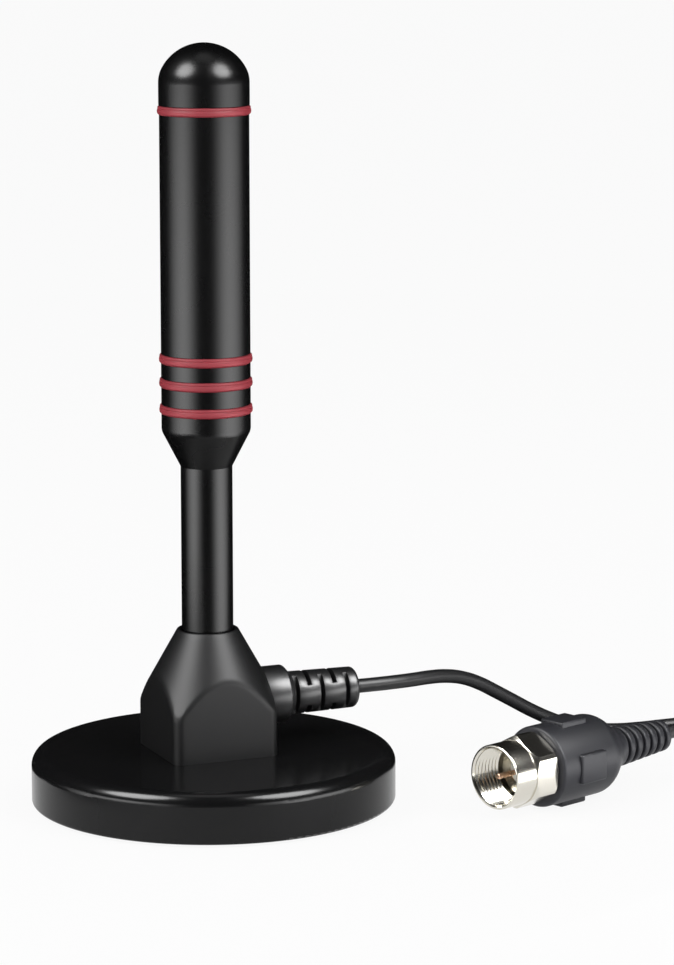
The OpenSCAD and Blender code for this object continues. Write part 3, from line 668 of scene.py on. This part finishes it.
class MakeRings(bpy.types.Operator):
    """Models the four red rings, each with a fine groove above its middle"""

    bl_idname = "antenna.make_rings"
    bl_label = "Model the rings"

    def execute(self, context):
        for name in ("lower_ring", "middle_ring", "upper_ring", "top_ring"):
            low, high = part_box(name)
            mid = (low.z + high.z) / 2 / MM
            out = (high.x - MAST_X) / MM
            place = Matrix.Translation((MAST_X, 0, 0))
            ring = turned(name + "_lips", rounded([
                (out - 1.1, mid - 0.72, 0.1), (out - 0.3, mid - 0.75, 0), (out - 0.05, mid - 0.5, 0.2),
                (out, mid - 0.1, 0.2), (out - 0.06, mid + 0.2, 0.06), (out - 0.2, mid + 0.27, 0.03),
                (out - 0.08, mid + 0.34, 0.06), (out - 0.12, mid + 0.6, 0.12), (out - 0.4, mid + 0.74, 0),
                (out - 1.1, mid + 0.72, 0.1),
            ], 4), place, 144)
            finish(ring, "red_ring")
            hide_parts(name)
        return {"FINISHED"}


class MakeStrainRelief(bpy.types.Operator):
    """Models the slotted sleeve that guides the lead out of the hub"""

    bl_idname = "antenna.make_strain_relief"
    bl_label = "Model the strain relief"

    def execute(self, context):
        sizes = context.scene.antenna_sizes
        place = Matrix.Translation((HUB_FACE, 0, EXIT_HEIGHT)) @ Matrix.Rotation(math.pi / 2, 4, "Y")
        reach = (RELIEF_END - HUB_FACE) / MM
        sleeve = turned("strain_relief_sleeve", rounded([
            (1.22, -3.15, 0), (3.9, -3.15, 0.2), (3.9, -2, 0), (3.2, -2, 0), (3.2, 0, 0), (4.9, 0, 0),
            (4.9, 4.1, 0.4), (3.65, 5.2, 0.3), (3.45, reach, 0.7), (1.22, reach, 0.12),
        ], 5), place, 72)
        for i in range(5):
            for side in (-1, 1):
                low = (-6 * MM, side * 6.7 * MM - 5 * MM, (5.25 + i * 2.3) * MM)
                high = (6 * MM, side * 6.7 * MM + 5 * MM, (6.05 + i * 2.3) * MM)
                turn = place @ Matrix.Rotation(math.radians(90 * (i % 2)), 4, "Z")
                combine(sleeve, block("slot", low, high, turn), "DIFFERENCE")
        soften(sleeve, sizes.slot_edge, 40, 2)
        finish(sleeve, "relief_rubber")
        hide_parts("strain_relief")
        return {"FINISHED"}


class MakePlug(bpy.types.Operator):
    """Models the moulded plug body with its ribbed boot and grip pads"""

    bl_idname = "antenna.make_plug"
    bl_label = "Model the plug body"

    def execute(self, context):
        ribs = []
        for i in range(6):
            near, far = 2.7 + 0.8 * i / 6, 2.7 + 0.8 * (i + 0.6) / 6
            ribs += [
                (near, 2 * i, 0.3), (far, 2 * i + 1.2, 0.3),
                (far - 0.7, 2 * i + 1.2, 0.12), (near - 0.57, 2 * i + 2, 0.12),
            ]
        taper = [(3.5 + 3.3 * (1 - math.cos(math.pi * k / 14)) / 2, 12 + 7 * k / 14, 0) for k in range(1, 14)]
        body = turned("plug_body_moulding", rounded(
            [(0, 0, 0)] + ribs + [(3.5, 12, 0.2)] + taper
            + [(6.8, 19, 0), (6.8, 31.5, 0.6), (3.52, 31.5, 0), (3.52, 25, 0), (0, 25, 0)], 4), PLUG_FRAME, 96)
        for i in range(4):
            turn = PLUG_FRAME @ Matrix.Rotation(math.pi / 2 * i, 4, "Z")
            pad = block("pad", (4 * MM, -2.5 * MM, 21.6 * MM), (7.2 * MM, 2.5 * MM, 27.6 * MM), turn)
            soften(pad, 0.35 * MM, 30, 3)
            combine(body, pad, "UNION")
        finish(body, "plug_rubber")
        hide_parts("plug_body")
        return {"FINISHED"}


class MakeNut(bpy.types.Operator):
    """Models the coupling nut with its hexagon, round mouth and inner thread"""

    bl_idname = "antenna.make_nut"
    bl_label = "Model the coupling nut"

    def execute(self, context):
        sizes = context.scene.antenna_sizes
        corner_r = 5.5 / math.cos(math.pi / 6)
        bpy.ops.object.select_all(action="DESELECT")
        bpy.ops.mesh.primitive_cylinder_add(vertices=6, radius=corner_r * MM, depth=5 * MM, location=(0, 0, 34.2 * MM))
        nut = start("coupling_nut_turned")
        nut.matrix_world = PLUG_FRAME @ Matrix.Rotation(math.pi / 6, 4, "Z")
        bpy.ops.object.transform_apply(location=True, rotation=True, scale=True)
        combine(nut, turned("chamfer", rounded([
            (0, 31.7, 0), (5.5, 31.7, 0), (corner_r - 0.2, 32.2, 0), (corner_r - 0.2, 36.2, 0),
            (5.5, 36.7, 0), (0, 36.7, 0)]), PLUG_FRAME), "INTERSECT")
        combine(nut, turned("mouth", rounded([
            (0, 33, 0), (5.4, 33, 0), (5.4, 41.3, 0.25), (0, 41.3, 0)]), PLUG_FRAME), "UNION")
        combine(nut, turned("bore", rounded([
            (0, 31, 0), (3.55, 31, 0), (3.55, 33.7, 0), (4.75, 33.7, 0), (4.75, 40.95, 0), (5.1, 41.4, 0),
            (0, 41.4, 0)]), PLUG_FRAME), "DIFFERENCE")
        soften(nut, 0.12 * MM, 25, 2)
        # Thread: a ridge that climbs round the bore
        bpy.ops.object.select_all(action="DESELECT")
        bpy.ops.mesh.primitive_circle_add(vertices=3, radius=MM)
        ridge = start("thread")
        for corner, (radius, height) in zip(ridge.data.vertices, ((4.8, 34.9), (4.4, 35.2), (4.8, 35.5))):
            corner.co = (radius * MM, 0, height * MM)
        climb = ridge.modifiers.new("climb", "SCREW")
        climb.axis = "Z"
        climb.screw_offset = sizes.thread_pitch
        climb.iterations = 7
        climb.steps = climb.render_steps = 48
        alone(ridge)
        bpy.ops.object.modifier_apply(modifier=climb.name)
        bpy.ops.object.mode_set(mode="EDIT")
        bpy.ops.mesh.select_all(action="SELECT")
        bpy.ops.mesh.fill_holes(sides=3)
        bpy.ops.object.mode_set(mode="OBJECT")
        ridge.matrix_world = PLUG_FRAME
        bpy.ops.object.transform_apply(location=True, rotation=True, scale=True)
        clean(ridge)
        alone(nut)
        ridge.select_set(True)
        bpy.ops.object.join()
        finish(nut, "nickel", body="plug_nut", smooth=25)
        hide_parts("coupling_nut")
        return {"FINISHED"}


class FinishNodes(bpy.types.Operator):
    """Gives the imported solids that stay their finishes"""

    bl_idname = "antenna.finish_nodes"
    bl_label = "Finish the packed solids"

    def execute(self, context):
        slots = {s["node"]: s["material_slot"] for s in frame["record"]["subparts"]}
        for name, node in NODES.items():
            material = FINISHES[slots[name]]()
            node.data.materials.clear()
            node.data.materials.append(material)
        return {"FINISHED"}


class MakeStage(bpy.types.Operator):
    """Builds the pale floor, the soft lamps and the tent that only gloss sees, whose glowing panels paint highlights
    and whose dark sheets paint dark reflections
    """

    bl_idname = "antenna.make_stage"
    bl_label = "Build the studio"

    def around(self, azimuth, distance, height):
        """Point round the antenna. Azimuth 0 is towards the camera, positive to its right."""
        angle = math.radians(CAMERA_AZIMUTH)
        right = Vector((math.cos(angle), -math.sin(angle), 0))
        near = Vector((-math.sin(angle), -math.cos(angle), 0))
        a = math.radians(azimuth)
        return (right * math.sin(a) + near * math.cos(a)) * distance + Vector((0, 0, height))

    def lamp(self, name, azimuth, distance, height, width, tall, radiance, aim=0.05, lights=True):
        """Soft lamp. One that lights nothing is a bright card that only gloss reflects."""
        data = bpy.data.lights.new(name, "AREA")
        data.shape = "RECTANGLE" if lights else "ELLIPSE"
        data.size, data.size_y = width, tall
        data.energy = radiance * math.pi * width * tall
        lamp = bpy.data.objects.new(name, data)
        bpy.context.scene.collection.objects.link(lamp)
        lamp.location = self.around(azimuth, distance, height)
        lamp.rotation_euler = (Vector((0, 0, aim)) - lamp.location).to_track_quat("-Z", "Y").to_euler()
        lamp.visible_camera = False
        lamp.visible_diffuse = lights

    def execute(self, context):
        for side, turn in (("left", -1), ("right", 1)):
            self.lamp("soft_" + side, 60 * turn, 0.5, 0.5, 0.45, 0.35, 3.0)
            self.lamp("spot_" + side, 60 * turn, 0.42, 0.48, 0.38, 0.4, 16.0, 0.1, False)
        bpy.ops.object.select_all(action="DESELECT")
        bpy.ops.mesh.primitive_plane_add(size=14, location=(0, 0, 0))
        floor = start("paper_floor")
        material = bpy.data.materials.new("pale paper")
        material.use_nodes = True
        nodes, links = material.node_tree.nodes, material.node_tree.links
        paper = nodes["Principled BSDF"]
        paper.inputs["Base Color"].default_value = (*context.scene.antenna_colours.floor, 1)
        paper.inputs["Roughness"].default_value = 0.9
        paper.inputs["Specular IOR Level"].default_value = 0.1
        glow = nodes.new("ShaderNodeEmission")
        share, mixed = nodes.new("ShaderNodeMath"), nodes.new("ShaderNodeMixShader")
        share.operation, share.inputs[1].default_value = "MULTIPLY", FLOOR_WHITE
        links.new(background_rays(nodes, links), share.inputs[0])
        links.new(share.outputs["Value"], mixed.inputs["Fac"])
        links.new(paper.outputs["BSDF"], mixed.inputs[1])
        links.new(glow.outputs["Emission"], mixed.inputs[2])
        links.new(mixed.outputs["Shader"], nodes["Material Output"].inputs["Surface"])
        floor.data.materials.append(material)
        self.make_painted_reflections()
        self.make_world(context)
        context.scene.view_settings.view_transform = "Standard"
        return {"FINISHED"}

    def make_painted_reflections(self):
        """Dark wall, two bright floor panels and three dark cards, fitted to the photograph. Only gloss sees them: the
        glowing panels are painted highlights, the wall and cards painted dark reflections.
        """
        bright, cloth = black_cloth("tent")
        # Matt black for the wall and cards that only gloss sees: painted dark reflections
        dark, _ = black_cloth("painted shade sheets")
        nodes, links = bright.node_tree.nodes, bright.node_tree.links
        where, turn = nodes.new("ShaderNodeTexCoord"), nodes.new("ShaderNodeMapping")
        sweep = nodes.new("ShaderNodeTexGradient")
        ramp, level = nodes.new("ShaderNodeValToRGB"), nodes.new("ShaderNodeMath")
        # Turned so that the sweep is 0.5 towards the camera
        turn.inputs["Rotation"].default_value = (0, 0, math.radians(90 + CAMERA_AZIMUTH))
        sweep.gradient_type = "RADIAL"
        # Where each panel starts, is brightest and ends, in degrees from the camera, left to right
        ramp.color_ramp.interpolation = "EASE"
        stops = ramp.color_ramp.elements
        for stop, degrees in zip(stops, (-108, 120)):
            stop.position, stop.color = 0.5 + degrees / 360, (0, 0, 0, 1)
        for degrees, glow in ((-54, 1), (-12, 0), (17, 0), (62, 1)):
            stops.new(0.5 + degrees / 360).color = (glow, glow, glow, 1)
        level.operation, level.inputs[1].default_value = "MULTIPLY", PAINTED_HIGHLIGHT_GLOW
        links.new(where.outputs["Object"], turn.inputs["Vector"])
        links.new(turn.outputs["Vector"], sweep.inputs["Vector"])
        links.new(sweep.outputs["Fac"], ramp.inputs["Fac"])
        links.new(ramp.outputs["Color"], level.inputs[0])
        # The panels glow without lighting anything: painted highlights on the glossy parts
        cloth.inputs["Emission Color"].default_value = (1, 1, 1, 1)
        links.new(level.outputs["Value"], cloth.inputs["Emission Strength"])
        sheet = [(90, 0.3), (690, 0.3), (690, 95), (692, 95), (692, 0.2), (90, 0.2)]
        panels = turned("painted_highlight_panels", sheet, Matrix(), 96)
        # The wall is a painted dark reflection round the antenna, seen only by gloss
        wall = turned("painted_shade_wall", [(694, 0.2), (694, 2800), (700, 2800), (700, 0.2)], Matrix(), 96)
        cards = []
        # The left card paints a dark reflection that darkens the hub's left face. The other two made no measured
        # difference in the main view
        for name, first, last, near, far in (
            ("painted_shade_card_left", -105, -28, 0.06, 0.18),
            ("painted_shade_card_behind_left", -170, -100, 0.045, 0.3),
            ("painted_shade_card_behind_right", 115, 175, 0.045, 0.3),
        ):
            bpy.ops.object.select_all(action="DESELECT")
            bpy.ops.mesh.primitive_plane_add(size=1)
            card = start(name)
            shape = ((first, near), (last, near), (first, far), (last, far))
            for corner, (azimuth, distance) in zip(card.data.vertices, shape):
                corner.co = self.around(azimuth, distance, 0.0008)
            cards.append(card)
        # None of these sheets lights, shades or shows to the camera: only their painted highlights and dark
        # reflections are seen in gloss
        for sheet in (panels, wall, *cards):
            sheet.data.materials.append(bright if sheet == panels else dark)
            for kind in ("camera", "diffuse", "transmission", "volume_scatter", "shadow"):
                setattr(sheet, "visible_" + kind, False)

    def make_world(self, context):
        world = bpy.data.worlds.new("studio")
        context.scene.world = world
        world.use_nodes = True
        nodes, links = world.node_tree.nodes, world.node_tree.links
        air, tone = nodes["Background"], nodes.new("ShaderNodeMix")
        tone.data_type = "RGBA"
        tone.inputs["A"].default_value = (0.45, 0.45, 0.46, 1)
        tone.inputs["B"].default_value = (1, 1, 1, 1)
        links.new(background_rays(nodes, links), tone.inputs["Factor"])
        links.new(tone.outputs["Result"], air.inputs["Color"])


STEPS = (MakeCamera, MakeLead, MakeHub, MakeRings, MakeStrainRelief, MakePlug, MakeNut, FinishNodes, MakeStage)


class AntennaPanel(bpy.types.Panel):
    """Lists the steps that dress the antenna, with their sizes and colours"""

    bl_idname = "VIEW3D_PT_antenna"
    bl_label = "Television antenna"
    bl_space_type = "VIEW_3D"
    bl_region_type = "UI"
    bl_category = "Antenna"

    def draw(self, context):
        for step in STEPS:
            self.layout.operator(step.bl_idname)
        for group in (context.scene.antenna_sizes, context.scene.antenna_colours):
            column = self.layout.column()
            for name in group.__annotations__:
                column.prop(group, name)


CLASSES = (AntennaSizes, AntennaColours, *STEPS, AntennaPanel)


def register():
    for item in CLASSES:
        bpy.utils.register_class(item)
    bpy.types.Scene.antenna_sizes = bpy.props.PointerProperty(type=AntennaSizes)
    bpy.types.Scene.antenna_colours = bpy.props.PointerProperty(type=AntennaColours)


def unregister():
    del bpy.types.Scene.antenna_sizes
    del bpy.types.Scene.antenna_colours
    for item in reversed(CLASSES):
        bpy.utils.unregister_class(item)


def main():
    register()
    for step in STEPS:
        group, name = step.bl_idname.split(".")
        getattr(getattr(bpy.ops, group), name)()


if __name__ == "__main__":
    main()
